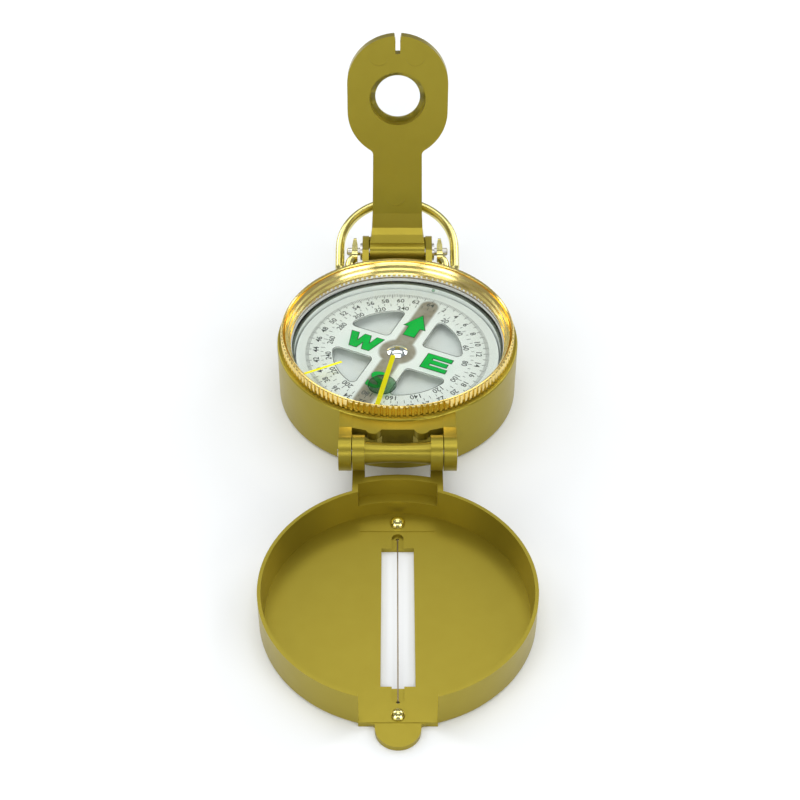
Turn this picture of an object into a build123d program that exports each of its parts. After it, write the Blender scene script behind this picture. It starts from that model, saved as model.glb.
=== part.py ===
from build123d import *
import os
from math import atan, cos, degrees, pi, radians, sin

# Folding sighting compass, shown open: the lid lies in front of the case (-Y) and the
# sight arm stands up behind it (+Y). Millimetres, +Z up. The origin is the centre of the
# case's flat base, which rests on the ground at z = 0.

os.makedirs("parts", exist_ok=True)

# ---- fits -------------------------------------------------------------------------------
PIN_R = 1.0              # both hinge pins, fixed in the case's ears
PIN_RUN = 0.05           # radial running clearance of what turns on a pin

# ---- case -------------------------------------------------------------------------------
CASE_R = 28.5            # outside radius of the round case
CASE_H = 15.6            # height of the case's top edge
CASE_FLOOR = 2.0
FOOT_ROUND = 0.8         # bottom outer edge of case and lid
CASE_RIM_ROUND = 0.4
WELL_R = 25.9            # bore that holds the liquid capsule
SKIRT_BORE_R = 27.2      # wider bore that the bezel's skirt turns in
SKIRT_BORE_Z = 12.0

# ---- front hinge, between case and lid ---------------------------------------------------
HINGE_Y, HINGE_Z = -35.7, 12.4
HINGE_DISC_R = 4.0       # round ends of the case's ears and the lid's arms
EAR_IN, EAR_OUT = 10.2, 13.05
EAR_BOTTOM, EAR_TOP = 9.0, 15.3
FLANGE_Z, FLANGE_TOP = 13.2, 15.2
RIB_HALF, RIB_CHAMFER = 4.6, 1.1
RIB_Y, RIB_BOTTOM = -29.5, 4.0

# ---- lid --------------------------------------------------------------------------------
LID_Y = 2 * HINGE_Y      # closed, the lid's centre lies over the case's
LID_R = 28.96
LID_H = 9.1
LID_FLOOR = 1.2
LID_FLOOR_R, LID_RIM_R = 27.75, 28.2     # inside radius at the floor and at the rim
ARM_IN, ARM_OUT = 7.3, 10.0              # the lid's two hinge arms
ARM_BOTTOM, ARM_END_Y = 5.2, -44.5
BARREL_MID_R, BARREL_END_R = 2.15, 2.65
BLOCK_R, BLOCK_Z = 32.2, 3.6             # thick wall that carries the arms
POCKET_R, POCKET_Z, POCKET_HALF = 30.6, 4.8, 8.7
NOTCH_HALF = 7.8         # gap in the wall for the neck of the folded sight arm
SHOULDER_Y, SHOULDER_ROUND = -99.7, 0.6
TONGUE_HALF, TONGUE_TIP_Y = 4.55, -105.3
SLOT_HALF, SLOT_NEAR_Y, SLOT_FAR_Y = 3.5, -54.0, -91.0
PAD_HALF, PAD_RISE = 8.3, 0.12
PAD_NEAR_Y, PAD_FAR_Y = -49.1, -95.0
CHANNEL_W, CHANNEL_L, CHANNEL_DEPTH = 2.5, 4.2, 0.7     # recess at each end of the slot
WIRE_R, WIRE_HOLE_R = 0.13, 0.35
WIRE_NEAR_Y, WIRE_FAR_Y = -50.8, -94.3
WIRE_END_Z = 0.05
SCREWS = ((-46.7, 1.7), (-98.0, 1.4))    # y of each screw and radius of its head
SCREW_SHANK_R = 0.8
SCREW_END_Z = 0.2
SCREW_EDGE, SCREW_RISE = 0.25, 0.75      # straight edge, and dome's rise as a share of its radius

# ---- bezel and crystal -------------------------------------------------------------------
BEZEL_R = 27.6
BEZEL_BOTTOM, BEZEL_TOP = 15.75, 18.65
BEZEL_TEETH, TOOTH_DEPTH = 134, 0.38
TOOTH_SHAPE = ((0.0, 0), (0.4, 0), (0.58, 1), (0.82, 1))     # share of pitch, share of depth
SKIRT_IN_R, SKIRT_OUT_R, SKIRT_BOTTOM = 25.95, 26.95, 12.3
CRYSTAL_R, CRYSTAL_BOTTOM, CRYSTAL_TOP = 25.85, 14.1, 15.1
LIP_R = 25.3             # the bezel's lip over the crystal's edge
SNAP_R, SNAP_WIRE_R, SNAP_Z = 27.15, 0.4, 14.0
SNAP_ARC = 352           # degrees of ring, the rest is its gap
CASE_GROOVE_R, CASE_GROOVE_HALF = 27.6, 0.45
SKIRT_GROOVE_R, SKIRT_GROOVE_HALF = 26.4, 0.6

# ---- index lines: inner radius, outer radius, width, degrees clockwise from +Y ------------
INLAY = 0.1
CRYSTAL_LINE = (4.6, 25.6, 1.15, 192.0)
CAPSULE_LINE = (14.6, 25.3, 0.7, 243.5)

# ---- liquid capsule ----------------------------------------------------------------------
CAPSULE_R, CAPSULE_BORE_R, CAPSULE_TOP = 25.6, 24.6, 12.5
WEB_BOTTOM, WEB_TOP = 8.0, 9.0           # floor of the liquid space, above a hollow skirt
GASKET_TOP, COVER_TOP = 12.8, 13.8
POST_R, POST_TIP_R, POST_FOOT_Z, POST_TIP_Z = 0.5, 0.1, 8.3, 10.85
POST_TAPER_Z = 9.8
POST_BOSS_R, POST_BOSS_TOP = 2.0, 9.5
PLUG_R, PLUG_X = 1.0, 15.0

# ---- card, needle and pivot cap ----------------------------------------------------------
CARD_R, CARD_Z, CARD_TOP = 24.2, 11.0, 11.3
CARD_NORTH = 25.0        # degrees clockwise from +Y in which the card's north points
WINDOW_EDGE, WINDOW_R, WINDOW_ROUND = 4.35, 15.5, 1.2
NEEDLE_Z, NEEDLE_HALF, NEEDLE_REACH, HUB_R = 10.3, 2.3, 21.0, 4.5
CAP_R, CAP_TOP, CAP_EDGE, CAP_STEM_R = 2.4, 12.2, 0.2, 1.6
JEWEL_R, JEWEL_Z, JEWEL_TOP = 0.9, 10.9, 11.4

# ---- rear bracket and the axis that sight arm and thumb ring share ------------------------
AXIS_Y, AXIS_Z = 33.2, 16.2
BRACKET_IN, BRACKET_OUT, BRACKET_BOTTOM = 7.15, 8.77, 6.0
BRACKET_FRONT, BRACKET_BACK = 28.6, 37.9
BACK_BAR_Y, BACK_BAR_TOP = 36.6, 17.4
WASHER_R, WASHER_OUT = 2.2, 9.3
ARM_PIN_END, PIN_CHAMFER = 12.7, 0.25

# ---- sight arm: u runs up the arm from its axis, v runs backwards -------------------------
ARM_LEAN = 8.0           # degrees that the raised arm leans back
KNUCKLE_R, KNUCKLE_HALF = 2.3, 6.9
FRONT_V, BACK_V = 3.6, 5.8               # front and back face of the plate
NECK_WIDTHS = ((4.0, 6.45), (9.0, 6.2), (25.0, 6.0))     # (u, half width)
HEAD_R, HEAD_LOW_U, HEAD_HIGH_U = 12.1, 36.4, 43.4
NECK_FILLET = 1.5
EYE_U, EYE_SEAT_R, EYE_R, EYE_DEPTH = 39.7, 6.75, 5.4, 1.7
NOTCH_DEPTH, NOTCH_LOW_HALF, NOTCH_TOP_HALF, NOTCH_FLARE = 4.4, 0.55, 0.9, 1.2
MARKS = ((-4.5, 50.3), (4.2, 50.3), (-0.5, 13.3))        # shallow round marks (x, u)
MARK_R, MARK_DEPTH = 2.25, 0.08
LENS_R, LENS_EDGE, LENS_CROWN = 6.7, 0.4, 0.6

# ---- thumb ring: distances along its plane are measured from the shared axis ---------------
RING_TILT = 72.0         # degrees back from vertical
RING_WIRE_R = 1.15
RING_R, RING_CENTRE = 14.45, 1.2
RING_INNER_LEG = 12.0
RING_TURN = -4.6         # where the legs turn back on themselves
RING_LEAD_R, RING_LEAD_ARC = 4.0, 35.0
EYE_IN, EYE_OUT = 10.0, 11.4             # flattened eyes of the ring, along X
EYE_LOW, EYE_LOW_R = -1.3, 1.7
EYE_HIGH, EYE_HIGH_R = 3.1, 0.9
EYE_TAPER_FROM, EYE_TIP_T = 0.5, 0.5     # where the eyes start to thin, and their tips' thickness


def dome_radius(radius, rise):
    """Radius of the sphere whose cap has this base radius and rise."""
    return (radius**2 + rise**2) / (2 * rise)


lean = radians(ARM_LEAN)
arm_up = (0, sin(lean), cos(lean))
arm_back = (0, cos(lean), -sin(lean))
axis_point = (0, AXIS_Y, AXIS_Z)
arm_side = Plane(origin=axis_point, x_dir=arm_up, z_dir=(-1, 0, 0))
arm_front = Plane(origin=axis_point, x_dir=(1, 0, 0), z_dir=(0, -cos(lean), sin(lean)))
tilt = radians(RING_TILT)
ring_along = (0, sin(tilt), cos(tilt))
ring_front = Plane(origin=axis_point, x_dir=(1, 0, 0), z_dir=(0, -cos(tilt), sin(tilt)))
hinge_axis = Axis((0, HINGE_Y, HINGE_Z), (1, 0, 0))


# ---- case body: round shell, front ears and flange, rear bracket --------------------------
with BuildPart() as case_body:
    with BuildSketch():
        Circle(CASE_R)
    extrude(amount=CASE_H)
    fillet(case_body.edges().group_by(Axis.Z)[0], FOOT_ROUND)
    fillet(case_body.edges().group_by(Axis.Z)[-1], CASE_RIM_ROUND)

    for side in (-1, 1):
        with BuildSketch(Plane.YZ.offset(side * (EAR_IN + EAR_OUT) / 2)):
            with Locations((HINGE_Y, HINGE_Z)):
                Circle(HINGE_DISC_R)
            with BuildLine():
                Polyline(
                    (HINGE_Y, HINGE_Z + HINGE_DISC_R),
                    (-30.5, EAR_TOP),
                    (-23.0, EAR_TOP),
                    (-23.0, EAR_BOTTOM),
                    (-31.0, EAR_BOTTOM),
                    (HINGE_Y, HINGE_Z - HINGE_DISC_R),
                    close=True,
                )
            make_face()
        extrude(amount=(EAR_OUT - EAR_IN) / 2, both=True)

    # Flange between the ears: a straight middle with a lobe on each side.
    with BuildSketch(Plane.XY.offset(FLANGE_Z)):
        with BuildLine():
            Line((0, -31.2), (3.7, -31.2))
            ThreePointArc((3.7, -31.2), (5.4, -32.5), (7.1, -31.4))
            Polyline((7.1, -31.4), (9.6, -30.7), (EAR_IN + 0.3, -30.5))
            Polyline((EAR_IN + 0.3, -30.5), (EAR_IN + 0.3, -20.0), (0, -20.0))
            mirror(about=Plane.YZ)
        make_face()
    extrude(amount=FLANGE_TOP - FLANGE_Z)
    with BuildSketch(Plane.XY.offset(RIB_BOTTOM)):
        with BuildLine():
            Polyline(
                (-RIB_HALF, RIB_Y + RIB_CHAMFER),
                (-RIB_HALF + RIB_CHAMFER, RIB_Y),
                (RIB_HALF - RIB_CHAMFER, RIB_Y),
                (RIB_HALF, RIB_Y + RIB_CHAMFER),
                (RIB_HALF, -26.5),
                (-RIB_HALF, -26.5),
                close=True,
            )
        make_face()
    extrude(amount=FLANGE_Z + 0.5 - RIB_BOTTOM)

    # Rear bracket: two ears and the bar behind the arm's knuckle.
    for side in (-1, 1):
        with BuildSketch(Plane.YZ.offset(side * (BRACKET_IN + BRACKET_OUT) / 2)):
            with BuildLine():
                Polyline(
                    (25.5, BRACKET_BOTTOM),
                    (25.5, EAR_TOP),
                    (BRACKET_FRONT - 0.1, EAR_TOP),
                    (BRACKET_FRONT, 16.0),
                    (31.8, 17.9),
                    (BACK_BAR_Y, 18.3),
                    (BRACKET_BACK - 0.4, 18.0),
                    (BRACKET_BACK, 17.3),
                    (BRACKET_BACK, BRACKET_BOTTOM),
                    close=True,
                )
            make_face()
        extrude(amount=(BRACKET_OUT - BRACKET_IN) / 2, both=True)
    with BuildSketch(Plane.XY.offset(BRACKET_BOTTOM)):
        with Locations((0, (BACK_BAR_Y + BRACKET_BACK) / 2)):
            Rectangle(2 * BRACKET_OUT, BRACKET_BACK - BACK_BAR_Y)
    extrude(amount=BACK_BAR_TOP - BRACKET_BOTTOM)

    # Well for the capsule, bore for the bezel's skirt, snap ring groove and pin holes.
    with BuildSketch(Plane.XY.offset(CASE_FLOOR)):
        Circle(WELL_R)
    extrude(amount=CASE_H, mode=Mode.SUBTRACT)
    with BuildSketch(Plane.XY.offset(SKIRT_BORE_Z)):
        Circle(SKIRT_BORE_R)
    extrude(amount=CASE_H, mode=Mode.SUBTRACT)
    with BuildSketch(Plane.XY.offset(SNAP_Z - CASE_GROOVE_HALF)):
        Circle(CASE_GROOVE_R)
    extrude(amount=2 * CASE_GROOVE_HALF, mode=Mode.SUBTRACT)
    with BuildSketch(Plane.YZ):
        with Locations((HINGE_Y, HINGE_Z), (AXIS_Y, AXIS_Z)):
            Circle(PIN_R)
    extrude(amount=EAR_OUT + 1, both=True, mode=Mode.SUBTRACT)
case_body.part.label = "case_body"
export_step(case_body.part, "parts/case_body.step")


# ---- lid: shallow cup with hinge arms, barrel, sight slot and lifting tongue ---------------
with BuildPart() as lid_cup:
    with BuildSketch():
        with Locations((0, LID_Y)):
            Circle(LID_R)
    extrude(amount=LID_H)
    fillet(lid_cup.edges().group_by(Axis.Z)[0], FOOT_ROUND)

    # Thick wall on the hinge side, the two arms on it and the barrel between them.
    with BuildSketch(Plane.XY.offset(BLOCK_Z)):
        with Locations((0, LID_Y)):
            Circle(BLOCK_R)
        with Locations((0, LID_Y + BLOCK_R)):
            Rectangle(2 * ARM_OUT, 14.0, mode=Mode.INTERSECT)
    extrude(amount=LID_H - BLOCK_Z)
    for side in (-1, 1):
        with BuildSketch(Plane.YZ.offset(side * (ARM_IN + ARM_OUT) / 2)):
            with Locations((HINGE_Y, HINGE_Z)):
                Circle(HINGE_DISC_R)
            with Locations(((HINGE_Y + ARM_END_Y) / 2, (ARM_BOTTOM + LID_H) / 2)):
                Rectangle(HINGE_Y - ARM_END_Y, LID_H - ARM_BOTTOM)
        extrude(amount=(ARM_OUT - ARM_IN) / 2, both=True)
    with BuildSketch(Plane.XZ.offset(-HINGE_Y)):
        with BuildLine():
            Line((-ARM_IN - 0.3, HINGE_Z), (-ARM_IN - 0.3, HINGE_Z + BARREL_END_R))
            ThreePointArc(
                (-ARM_IN - 0.3, HINGE_Z + BARREL_END_R),
                (0, HINGE_Z + BARREL_MID_R),
                (ARM_IN + 0.3, HINGE_Z + BARREL_END_R),
            )
            Line((ARM_IN + 0.3, HINGE_Z + BARREL_END_R), (ARM_IN + 0.3, HINGE_Z))
            Line((ARM_IN + 0.3, HINGE_Z), (-ARM_IN - 0.3, HINGE_Z))
        make_face()
    revolve(axis=hinge_axis)

    # Cavity that widens towards the rim, pocket at the hinge, notch opposite it.
    with BuildSketch(Plane.XY.offset(LID_FLOOR)):
        with Locations((0, LID_Y)):
            Circle(LID_FLOOR_R)
    lid_draft = degrees(atan((LID_RIM_R - LID_FLOOR_R) / (LID_H - LID_FLOOR)))
    extrude(amount=LID_H - LID_FLOOR, taper=-lid_draft, mode=Mode.SUBTRACT)
    with BuildSketch(Plane.XY.offset(POCKET_Z)):
        with Locations((0, LID_Y)):
            Circle(POCKET_R)
        with Locations((0, LID_Y + POCKET_R)):
            Rectangle(2 * POCKET_HALF, 16.0, mode=Mode.INTERSECT)
    extrude(amount=LID_H - POCKET_Z, mode=Mode.SUBTRACT)
    with BuildSketch(Plane.XY.offset(LID_FLOOR)):
        with Locations((0, LID_Y - LID_R)):
            Rectangle(2 * NOTCH_HALF, 20.0)
    extrude(amount=LID_H, mode=Mode.SUBTRACT)

    # Floor plate beyond the notch and its tongue.
    with BuildSketch() as tongue_outline:
        with Locations((0, (SHOULDER_Y + PAD_FAR_Y) / 2)):
            Rectangle(2 * NOTCH_HALF, PAD_FAR_Y - SHOULDER_Y)
        tongue_round_y = TONGUE_TIP_Y + TONGUE_HALF
        with Locations((0, (tongue_round_y + PAD_FAR_Y) / 2)):
            Rectangle(2 * TONGUE_HALF, PAD_FAR_Y - tongue_round_y)
        with Locations((0, tongue_round_y)):
            Circle(TONGUE_HALF)
        inner_corners = [
            corner for corner in tongue_outline.vertices()
            if abs(corner.Y - SHOULDER_Y) < 0.01 and abs(corner.X) < NOTCH_HALF - 1
        ]
        fillet(inner_corners, SHOULDER_ROUND)
    extrude(amount=LID_FLOOR)

    # Low pads under the screws, and a channel for the wire at each end of the slot.
    with BuildSketch(Plane.XY.offset(LID_FLOOR)):
        with Locations((0, (PAD_NEAR_Y + LID_Y + LID_R) / 2)):
            Rectangle(2 * PAD_HALF, LID_Y + LID_R - PAD_NEAR_Y)
        with Locations((0, LID_Y)):
            Circle(LID_RIM_R, mode=Mode.INTERSECT)
        with Locations((0, (PAD_FAR_Y + SHOULDER_Y) / 2)):
            Rectangle(2 * NOTCH_HALF, PAD_FAR_Y - SHOULDER_Y)
    extrude(amount=PAD_RISE)
    with BuildSketch(Plane.XY.offset(LID_FLOOR - CHANNEL_DEPTH)):
        with Locations((0, SLOT_NEAR_Y), (0, SLOT_FAR_Y)):
            SlotOverall(2 * CHANNEL_L, CHANNEL_W, rotation=90)
    extrude(amount=LID_FLOOR, mode=Mode.SUBTRACT)

    # Sight slot, wire holes, screw holes and the pin's turning hole.
    with BuildSketch():
        with Locations((0, (SLOT_NEAR_Y + SLOT_FAR_Y) / 2)):
            Rectangle(2 * SLOT_HALF, SLOT_NEAR_Y - SLOT_FAR_Y)
        with Locations((0, WIRE_NEAR_Y), (0, WIRE_FAR_Y)):
            Circle(WIRE_HOLE_R)
        with Locations(*[(0, screw_y) for screw_y, head_r in SCREWS]):
            Circle(SCREW_SHANK_R)
    extrude(amount=3 * LID_FLOOR, mode=Mode.SUBTRACT)
    with BuildSketch(Plane.YZ):
        with Locations((HINGE_Y, HINGE_Z)):
            Circle(PIN_R + PIN_RUN)
    extrude(amount=ARM_OUT + 1, both=True, mode=Mode.SUBTRACT)
lid_cup.part.label = "lid_cup"
export_step(lid_cup.part, "parts/lid_cup.step")


# ---- lid hinge pin: straight, standing a little proud of the case's ears -------------------
with BuildPart() as lid_hinge_pin:
    with BuildSketch(Plane.YZ):
        with Locations((HINGE_Y, HINGE_Z)):
            Circle(PIN_R)
    extrude(amount=EAR_OUT + PIN_CHAMFER, both=True)
    chamfer(lid_hinge_pin.edges().filter_by(GeomType.CIRCLE), PIN_CHAMFER)
lid_hinge_pin.part.label = "lid_hinge_pin"
export_step(lid_hinge_pin.part, "parts/lid_hinge_pin.step")


# ---- sight wire: lies in the channels and turns down into a hole at each end ---------------
wire_z = LID_FLOOR - CHANNEL_DEPTH + WIRE_R
with BuildPart() as sight_wire:
    with BuildLine() as wire_path:
        FilletPolyline(
            (0, WIRE_NEAR_Y, WIRE_END_Z),
            (0, WIRE_NEAR_Y, wire_z),
            (0, WIRE_FAR_Y, wire_z),
            (0, WIRE_FAR_Y, WIRE_END_Z),
            radius=0.2,
        )
    with BuildSketch(Plane(origin=(0, WIRE_NEAR_Y, WIRE_END_Z), z_dir=(0, 0, 1))):
        Circle(WIRE_R)
    sweep(path=wire_path.wires()[0])
sight_wire.part.label = "sight_wire"
export_step(sight_wire.part, "parts/sight_wire.step")


# ---- wire screws: plain low domes ------------------------------------------------------------
with BuildPart() as wire_screws:
    head_z = LID_FLOOR + PAD_RISE
    for screw_y, head_r in SCREWS:
        head_top_z = head_z + SCREW_EDGE + SCREW_RISE * head_r
        with BuildSketch(Plane.XY.offset(SCREW_END_Z)):
            with Locations((0, screw_y)):
                Circle(SCREW_SHANK_R)
        extrude(amount=head_z - SCREW_END_Z)
        with BuildSketch(Plane.YZ):
            with BuildLine():
                Line((screw_y, head_z), (screw_y + head_r, head_z))
                Line((screw_y + head_r, head_z), (screw_y + head_r, head_z + SCREW_EDGE))
                RadiusArc(
                    (screw_y + head_r, head_z + SCREW_EDGE),
                    (screw_y, head_top_z),
                    -dome_radius(head_r, SCREW_RISE * head_r),
                )
                Line((screw_y, head_top_z), (screw_y, head_z))
            make_face()
        revolve(axis=Axis((0, screw_y, 0), (0, 0, 1)))
wire_screws.part.label = "wire_screws"
export_step(wire_screws.part, "parts/wire_screws.step")


# ---- bezel ring: coin-edged rim, stepped inner slope and a skirt inside the case -----------
bezel_profile = [
    (LIP_R, CRYSTAL_TOP),
    (LIP_R + 0.25, CRYSTAL_TOP + 0.3),
    (LIP_R + 0.35, CRYSTAL_TOP + 1.1),
    (LIP_R + 0.65, CRYSTAL_TOP + 1.55),
    (LIP_R + 0.75, CRYSTAL_TOP + 2.3),
    (26.35, 17.85),
    (26.5, 18.05),
    (26.65, 17.95),
    (26.8, 17.7),
    (26.95, BEZEL_TOP - 0.15),
    (27.1, BEZEL_TOP),
    (BEZEL_R - 0.25, BEZEL_TOP - 0.07),
    (BEZEL_R - 0.07, BEZEL_TOP - 0.25),
    (BEZEL_R, BEZEL_TOP - 0.5),
    (BEZEL_R, BEZEL_BOTTOM),
    (SKIRT_OUT_R, BEZEL_BOTTOM),
    (SKIRT_OUT_R, SNAP_Z + SKIRT_GROOVE_HALF),
    (SKIRT_GROOVE_R, SNAP_Z + SKIRT_GROOVE_HALF),
    (SKIRT_GROOVE_R, SNAP_Z - SKIRT_GROOVE_HALF),
    (SKIRT_OUT_R, SNAP_Z - SKIRT_GROOVE_HALF),
    (SKIRT_OUT_R, SKIRT_BOTTOM),
    (SKIRT_IN_R, SKIRT_BOTTOM),
    (SKIRT_IN_R, CRYSTAL_BOTTOM),
    (CRYSTAL_R, CRYSTAL_BOTTOM),
    (CRYSTAL_R, CRYSTAL_TOP),
]
tooth_points = []
for tooth in range(BEZEL_TEETH):
    for pitch_share, depth_share in TOOTH_SHAPE:
        turn = 2 * pi * (tooth + pitch_share) / BEZEL_TEETH
        radius = BEZEL_R + 0.02 - depth_share * TOOTH_DEPTH
        tooth_points.append((radius * cos(turn), radius * sin(turn)))
with BuildPart() as bezel_ring:
    with BuildSketch(Plane.XZ):
        with BuildLine():
            Polyline(*bezel_profile, close=True)
        make_face()
    revolve(axis=Axis.Z)
    with BuildSketch(Plane.XY.offset(SKIRT_BOTTOM - 1)):
        with BuildLine():
            Polyline(*tooth_points, close=True)
        make_face()
    extrude(amount=BEZEL_TOP - SKIRT_BOTTOM + 2, mode=Mode.INTERSECT)
bezel_ring.part.label = "bezel_ring"
export_step(bezel_ring.part, "parts/bezel_ring.step")


# ---- snap ring: split round wire that keeps the bezel on the case ---------------------------
with BuildPart() as snap_ring:
    with BuildSketch(Plane.XZ):
        with Locations((SNAP_R, SNAP_Z)):
            Circle(SNAP_WIRE_R)
    revolve(axis=Axis.Z, revolution_arc=SNAP_ARC)
snap_ring.part.label = "snap_ring"
export_step(snap_ring.part, "parts/snap_ring.step")


# ---- crystal and capsule cover, each with an inlaid index line ------------------------------
def line_plane(height, bearing):
    """Plane at a height whose y axis points along a bearing, clockwise from +Y."""
    turn = radians(bearing)
    return Plane(origin=(0, 0, height), x_dir=(cos(turn), -sin(turn), 0), z_dir=(0, 0, 1))


with BuildPart() as crystal_index_line:
    inner_r, outer_r, width, bearing = CRYSTAL_LINE
    with BuildSketch(line_plane(CRYSTAL_BOTTOM, bearing)):
        with Locations((0, (inner_r + outer_r) / 2)):
            Rectangle(width, outer_r - inner_r)
    extrude(amount=INLAY)
crystal_index_line.part.label = "crystal_index_line"
export_step(crystal_index_line.part, "parts/crystal_index_line.step")

with BuildPart() as crystal:
    with BuildSketch(Plane.XY.offset(CRYSTAL_BOTTOM)):
        Circle(CRYSTAL_R)
    extrude(amount=CRYSTAL_TOP - CRYSTAL_BOTTOM)
    add(crystal_index_line.part, mode=Mode.SUBTRACT)
crystal.part.label = "crystal"
export_step(crystal.part, "parts/crystal.step")

with BuildPart() as capsule_index_line:
    inner_r, outer_r, width, bearing = CAPSULE_LINE
    with BuildSketch(line_plane(COVER_TOP - INLAY, bearing)):
        with Locations((0, (inner_r + outer_r) / 2)):
            Rectangle(width, outer_r - inner_r)
    extrude(amount=INLAY)
capsule_index_line.part.label = "capsule_index_line"
export_step(capsule_index_line.part, "parts/capsule_index_line.step")

with BuildPart() as capsule_cover:
    with BuildSketch(Plane.XY.offset(GASKET_TOP)):
        Circle(CAPSULE_R)
    extrude(amount=COVER_TOP - GASKET_TOP)
    add(capsule_index_line.part, mode=Mode.SUBTRACT)
capsule_cover.part.label = "capsule_cover"
export_step(capsule_cover.part, "parts/capsule_cover.step")


# ---- capsule cup, gasket, fill plug and pivot post -------------------------------------------
with BuildPart() as capsule_cup:
    with BuildSketch(Plane.XY.offset(CASE_FLOOR)):
        Circle(CAPSULE_R)
    extrude(amount=CAPSULE_TOP - CASE_FLOOR)
    with BuildSketch(Plane.XY.offset(WEB_TOP)):
        Circle(CAPSULE_BORE_R)
    extrude(amount=CAPSULE_TOP, mode=Mode.SUBTRACT)
    with BuildSketch(Plane.XY.offset(CASE_FLOOR)):
        Circle(CAPSULE_BORE_R)
    extrude(amount=WEB_BOTTOM - CASE_FLOOR, mode=Mode.SUBTRACT)
    with BuildSketch(Plane.XY.offset(WEB_TOP)):
        Circle(POST_BOSS_R)
    extrude(amount=POST_BOSS_TOP - WEB_TOP)
    with BuildSketch(Plane.XY.offset(POST_FOOT_Z)):
        Circle(POST_R)
    extrude(amount=CAPSULE_TOP, mode=Mode.SUBTRACT)
    with BuildSketch(Plane.XY.offset(WEB_BOTTOM)):
        with Locations((PLUG_X, 0)):
            Circle(PLUG_R)
    extrude(amount=WEB_TOP - WEB_BOTTOM, mode=Mode.SUBTRACT)
capsule_cup.part.label = "capsule_cup"
export_step(capsule_cup.part, "parts/capsule_cup.step")

with BuildPart() as capsule_gasket:
    with BuildSketch(Plane.XY.offset(CAPSULE_TOP)):
        Circle(CAPSULE_R)
        Circle(CAPSULE_BORE_R, mode=Mode.SUBTRACT)
    extrude(amount=GASKET_TOP - CAPSULE_TOP)
capsule_gasket.part.label = "capsule_gasket"
export_step(capsule_gasket.part, "parts/capsule_gasket.step")

with BuildPart() as fill_plug:
    with BuildSketch(Plane.XY.offset(WEB_BOTTOM)):
        with Locations((PLUG_X, 0)):
            Circle(PLUG_R)
    extrude(amount=WEB_TOP - WEB_BOTTOM)
fill_plug.part.label = "fill_plug"
export_step(fill_plug.part, "parts/fill_plug.step")

with BuildPart() as pivot_post:
    with BuildSketch(Plane.XZ):
        with BuildLine():
            Polyline(
                (0, POST_FOOT_Z),
                (POST_R, POST_FOOT_Z),
                (POST_R, POST_TAPER_Z),
                (POST_TIP_R, POST_TIP_Z),
                (0, POST_TIP_Z),
                close=True,
            )
        make_face()
    revolve(axis=Axis.Z)
pivot_post.part.label = "pivot_post"
export_step(pivot_post.part, "parts/pivot_post.step")


# ---- dial card, needle bar, pivot cap and jewel: turn together on the post -------------------
with BuildPart() as dial_card:
    with BuildSketch(line_plane(CARD_Z, CARD_NORTH)):
        Circle(CARD_R)
        Circle(CAP_STEM_R, mode=Mode.SUBTRACT)
    extrude(amount=CARD_TOP - CARD_Z)
    with BuildSketch(line_plane(CARD_Z, CARD_NORTH)) as windows:
        Circle(WINDOW_R)
        Rectangle(2 * WINDOW_R + 1, 2 * WINDOW_EDGE, mode=Mode.SUBTRACT)
        Rectangle(2 * WINDOW_EDGE, 2 * WINDOW_R + 1, mode=Mode.SUBTRACT)
        fillet(windows.vertices(), WINDOW_ROUND)
    extrude(amount=CARD_TOP - CARD_Z, mode=Mode.SUBTRACT)
dial_card.part.label = "dial_card"
export_step(dial_card.part, "parts/dial_card.step")

with BuildPart() as needle_bar:
    with BuildSketch(line_plane(NEEDLE_Z, CARD_NORTH)):
        SlotOverall(2 * NEEDLE_REACH, 2 * NEEDLE_HALF, rotation=90)
        Circle(HUB_R)
        Circle(CAP_STEM_R, mode=Mode.SUBTRACT)
    extrude(amount=CARD_Z - NEEDLE_Z)
needle_bar.part.label = "needle_bar"
export_step(needle_bar.part, "parts/needle_bar.step")

with BuildPart() as pivot_cap:
    with BuildSketch(Plane.XZ):
        with BuildLine():
            Polyline(
                (0, JEWEL_TOP),
                (JEWEL_R, JEWEL_TOP),
                (JEWEL_R, NEEDLE_Z),
                (CAP_STEM_R, NEEDLE_Z),
                (CAP_STEM_R, CARD_TOP),
                (CAP_R, CARD_TOP),
                (CAP_R, CARD_TOP + CAP_EDGE),
            )
            RadiusArc(
                (CAP_R, CARD_TOP + CAP_EDGE),
                (0, CAP_TOP),
                -dome_radius(CAP_R, CAP_TOP - CARD_TOP - CAP_EDGE),
            )
            Line((0, CAP_TOP), (0, JEWEL_TOP))
        make_face()
    revolve(axis=Axis.Z)
pivot_cap.part.label = "pivot_cap"
export_step(pivot_cap.part, "parts/pivot_cap.step")

with BuildPart() as jewel_bearing:
    with BuildSketch(Plane.XY.offset(JEWEL_Z)):
        Circle(JEWEL_R)
    extrude(amount=JEWEL_TOP - JEWEL_Z)
jewel_bearing.part.label = "jewel_bearing"
export_step(jewel_bearing.part, "parts/jewel_bearing.step")


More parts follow.
